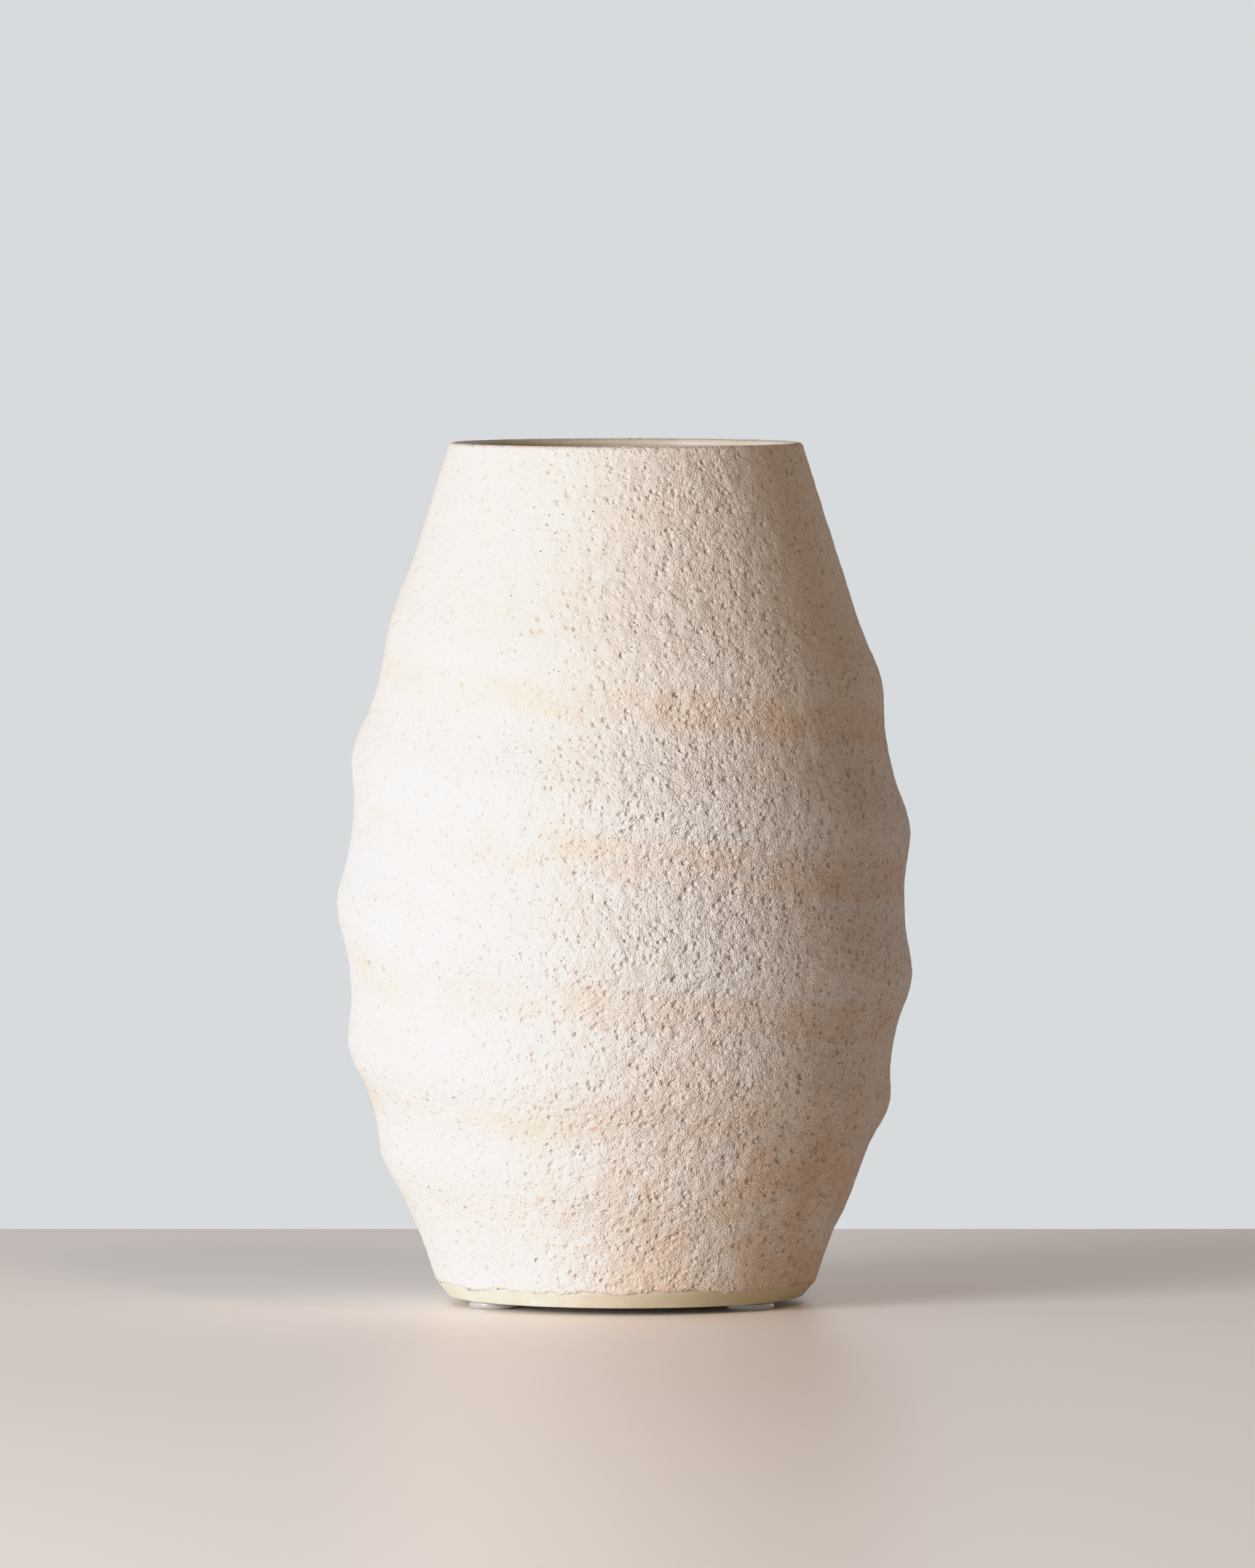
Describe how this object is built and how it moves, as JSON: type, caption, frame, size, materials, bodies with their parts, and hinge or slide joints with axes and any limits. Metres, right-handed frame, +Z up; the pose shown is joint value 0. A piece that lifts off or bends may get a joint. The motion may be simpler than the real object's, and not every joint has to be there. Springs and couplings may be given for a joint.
{
  "type": "stoneware vase",
  "caption": "Tall wheel-thrown stoneware vase with a full belly, narrow foot, open mouth, spiral throwing ridge, matte crater glaze and stick-on pads.",
  "frame": {"origin": "bottom centre, on the surface that the foot pads stand on, on the vase's axis", "axes": "+Z up along the vase's axis; -Y is the front; +X is to the right seen from the front"},
  "size_m": [0.154, 0.1544, 0.232],
  "materials": {
    "bare_clay": "unglazed fired stoneware, cream, smooth",
    "matte_glaze": "dry matte white crater glaze with pits and freckles",
    "liner_glaze": "thin satin cream glaze",
    "foot_pad": "clear soft polymer",
    "adhesive": "clear pressure-sensitive film"
  },
  "bodies": {
    "root": {"stoneware_body": "bare_clay", "outer_glaze": "matte_glaze", "liner_glaze": "liner_glaze", "foot_pad_front_right": "foot_pad", "foot_pad_front_left": "foot_pad", "foot_pad_rear": "foot_pad", "pad_adhesive_front_right": "adhesive", "pad_adhesive_front_left": "adhesive", "pad_adhesive_rear": "adhesive"}
  },
  "joints": []
}
